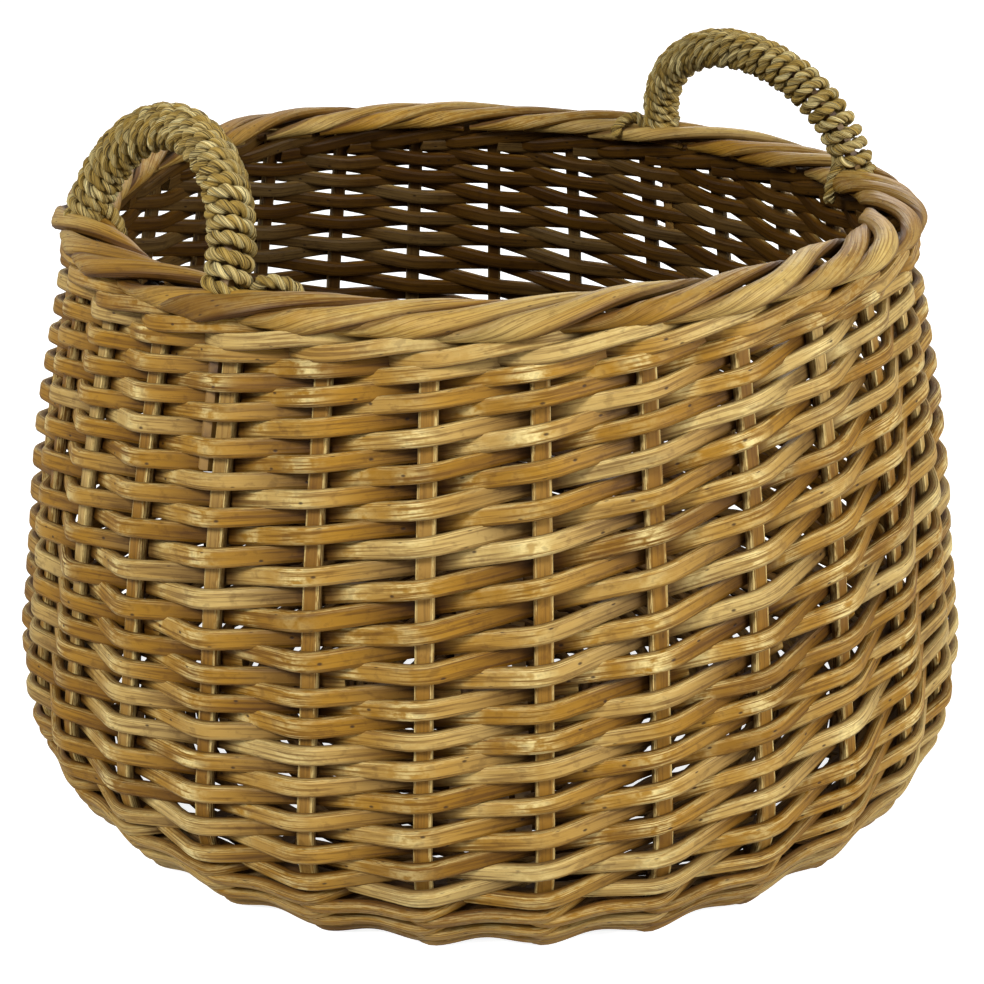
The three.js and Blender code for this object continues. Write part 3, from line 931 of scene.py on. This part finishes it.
# In each willow, the last number is the strength of the painted shade.
weave_willow = finish("weave_willow", skin_group, {
    "Base": (0.335, 0.166, 0.014, 1), "Dark": (0.075, 0.026, 0.005, 1),
    "Pale": (0.76, 0.61, 0.26, 1), "Streaks": 0.55, "Knots": 1.0, "Painted Shade": 0.9,
}, strength=0.5, distance=0.0006)
stake_willow = finish("stake_willow", skin_group, {
    "Base": (0.29, 0.142, 0.02, 1), "Dark": (0.10, 0.04, 0.01, 1),
    "Pale": (0.74, 0.56, 0.22, 1), "Streaks": 0.4, "Knots": 0.4, "Painted Shade": 0.9,
}, strength=0.5, distance=0.0005)
border_willow = finish("border_willow", skin_group, {
    "Base": (0.37, 0.192, 0.019, 1), "Dark": (0.09, 0.034, 0.007, 1),
    "Pale": (0.74, 0.59, 0.23, 1), "Streaks": 0.5, "Knots": 0.8, "Painted Shade": 0.95,
}, strength=0.5, distance=0.0006)
base_willow = finish("base_willow", skin_group, {
    "Base": (0.20, 0.10, 0.025, 1), "Dark": (0.05, 0.02, 0.007, 1),
    "Pale": (0.4, 0.26, 0.09, 1), "Streaks": 0.6, "Knots": 0.5, "Painted Shade": 0.3,
}, strength=0.5, distance=0.0006)
for piece in (lower_siding, upper_siding, top_wale, bottom_wale):
    wear(piece, weave_willow)
for piece in stakes:
    wear(piece, stake_willow)
wear(border, border_willow)
wear(base_weave, base_willow)

# %% [markdown]
# ## Seagrass cord
# The cord is twisted grass: straw-coloured strands with fine dark lines along them and
# dark gaps between them. The strands have the same kind of map as the rods, so the fine
# lines can follow the twist.


# %% The skin of the cord
def seagrass_skin():
    tree = bpy.data.node_groups.new("seagrass_skin", "ShaderNodeTree")
    given, out = group_sockets(tree, [
        ("Base", "INPUT", COLOUR, (0.3, 0.24, 0.1, 1)),
        ("Dark", "INPUT", COLOUR, (0.08, 0.05, 0.02, 1)),
        ("Pale", "INPUT", COLOUR, (0.5, 0.44, 0.22, 1)), ("Color", "OUTPUT", COLOUR, None),
        ("Roughness", "OUTPUT", NUMBER, None), ("Height", "OUTPUT", NUMBER, None),
    ])
    fibre = noise_along(tree, along=45, across=1400, detail=3)
    tone = noise_along(tree, along=14, across=90, detail=3)
    skin = mix(tree, ramp(tree, tone, 0.4, 0.75), given.outputs["Base"], given.outputs["Pale"])
    lines = maths(tree, "MULTIPLY", ramp(tree, fibre, 0.44, 0.62), 0.92)
    tree.links.new(mix(tree, lines, skin, given.outputs["Dark"]), out.inputs["Color"])
    rough = maths(tree, "ADD", maths(tree, "MULTIPLY", fibre, 0.2), 0.55)
    tree.links.new(rough, out.inputs["Roughness"])
    tree.links.new(maths(tree, "SUBTRACT", 1.0, fibre), out.inputs["Height"])
    return tree


cord_finish = finish("seagrass_cord", seagrass_skin(), {
    "Base": (0.49, 0.32, 0.07, 1), "Dark": (0.035, 0.019, 0.005, 1),
    "Pale": (0.98, 0.82, 0.38, 1),
}, strength=0.9, distance=0.0012)
for piece in seagrass_pieces:
    wear(piece, cord_finish)

# %% [markdown]
# ## The pieces that stay as they are
# The base's sticks and the cores of the handles have the right shape already. Their meshes
# have no map of their own, so their willow is mottled by place instead.

# %% Plain sticks
STICK_BROWN, STICK_DARK = (0.30, 0.165, 0.035, 1), (0.08, 0.035, 0.01, 1)


def stick_finish():
    material = bpy.data.materials.new("stick_willow")
    material.use_nodes = True
    tree = material.node_tree
    shader = tree.nodes["Principled BSDF"]
    coords = tree.nodes.new("ShaderNodeTexCoord")
    mottle = tree.nodes.new("ShaderNodeTexNoise")
    mottle.inputs["Scale"].default_value = 90
    mottle.inputs["Detail"].default_value = 6
    tree.links.new(coords.outputs["Object"], mottle.inputs["Vector"])
    amount = mottle.outputs["Fac"]
    skin = mix(tree, ramp(tree, amount, 0.35, 0.7), STICK_BROWN, STICK_DARK)
    tree.links.new(skin, shader.inputs["Base Color"])
    rough = maths(tree, "ADD", maths(tree, "MULTIPLY", amount, 0.3), 0.4)
    tree.links.new(rough, shader.inputs["Roughness"])
    add_relief(tree, shader, amount, strength=0.3, distance=0.0005)
    return material


stick_willow = stick_finish()
sticks = [node for name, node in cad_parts.items()
          if name.startswith("base_stick") or name.endswith("_core")]
for node in sticks:
    for place in node.material_slots:
        place.material = stick_willow
    if not node.material_slots:
        node.data.materials.append(stick_willow)
print(len(sticks), "CAD nodes keep their shape")

# %% [markdown]
# ## Studio
# A pale floor, a soft lamp above and in front, one nearly as strong from the side, a weak
# one from behind, and a white room that the camera sees as plain white. More light on the
# basket would also whiten the background, but it would bleach the willow. The camera stands
# where the photograph was taken from: straight in front and looking down a little.

# %% Floor
WHITE = (1, 1, 1, 1)
PAPER = (0.62, 0.62, 0.62, 1)
PAPER_GLOW = 0.88

bpy.ops.mesh.primitive_plane_add(size=12, location=(0, 2, 0))
floor = bpy.context.object
floor.name = "studio_floor"
paper = bpy.data.materials.new("studio_paper")
paper.use_nodes = True
paper_tree = paper.node_tree
paper_shader = paper_tree.nodes["Principled BSDF"]
paper_shader.inputs["Base Color"].default_value = PAPER
paper_shader.inputs["Roughness"].default_value = 0.9
paper_shader.inputs["Specular IOR Level"].default_value = 0.1
paper_shader.inputs["Emission Color"].default_value = WHITE
sight = paper_tree.nodes.new("ShaderNodeLightPath")
glow = maths(paper_tree, "MULTIPLY", sight.outputs["Is Camera Ray"], PAPER_GLOW)
paper_tree.links.new(glow, paper_shader.inputs["Emission Strength"])
floor.data.materials.append(paper)
print(floor.name, "is stage, not object")

# %% Room
ROOM_LIGHT, ROOM_SEEN = 0.16, 0.84

world = bpy.data.worlds.new("studio_room")
bpy.context.scene.world = world
world.use_nodes = True
room = world.node_tree
room_light = room.nodes["Background"]
room_light.inputs["Color"].default_value = WHITE
seen = room.nodes.new("ShaderNodeLightPath")
in_gloss = maths(room, "MAXIMUM", seen.outputs["Is Glossy Ray"],
                 seen.outputs["Is Transmission Ray"])
direct = maths(room, "MAXIMUM", seen.outputs["Is Camera Ray"], in_gloss)
room_strength = maths(room, "ADD", maths(room, "MULTIPLY", direct, ROOM_SEEN), ROOM_LIGHT)
room.links.new(room_strength, room_light.inputs["Strength"])
print(world.name, "gives", ROOM_LIGHT, "and shows", round(ROOM_LIGHT + ROOM_SEEN, 2))


# %% Lamps
def soft_lamp(name, place, aim, size, power):
    data = bpy.data.lights.new(name, "AREA")
    data.shape = "DISK"
    data.size = size
    data.energy = power
    lamp = bpy.data.objects.new(name, data)
    bpy.context.collection.objects.link(lamp)
    lamp.location = place
    lamp.rotation_euler = (lamp.location - Vector(aim)).to_track_quat("Z", "Y").to_euler()
    print(name, power, "W")


soft_lamp("key_lamp", (-1.15, -1.6, 1.7), aim=(0, 0, 0.1), size=0.7, power=50)
soft_lamp("side_lamp", (1.9, -1.0, 1.2), aim=(0, 0, 0.15), size=1.2, power=47)
soft_lamp("back_lamp", (0.5, 2.3, 1.1), aim=(0, 0, 0.15), size=1.4, power=14)

# %% Camera
CAMERA_PLACE = (0, -0.9222, 0.520)
LOOKING_DOWN = 23.38
FOCAL_LENGTH, SENSOR_WIDTH, CAMERA_SHIFT = 67.96, 36, 0.0018

camera_data = bpy.data.cameras.new("photo_camera")
camera_data.sensor_width = SENSOR_WIDTH
camera_data.lens = FOCAL_LENGTH
camera_data.shift_x = CAMERA_SHIFT
camera = bpy.data.objects.new("photo_camera", camera_data)
bpy.context.collection.objects.link(camera)
camera.location = CAMERA_PLACE
camera.rotation_euler = (math.radians(90 - LOOKING_DOWN), 0, 0)
bpy.context.scene.camera = camera
bpy.context.scene.view_settings.view_transform = "Standard"
print("Camera", CAMERA_PLACE, "looks down", LOOKING_DOWN, "degrees")
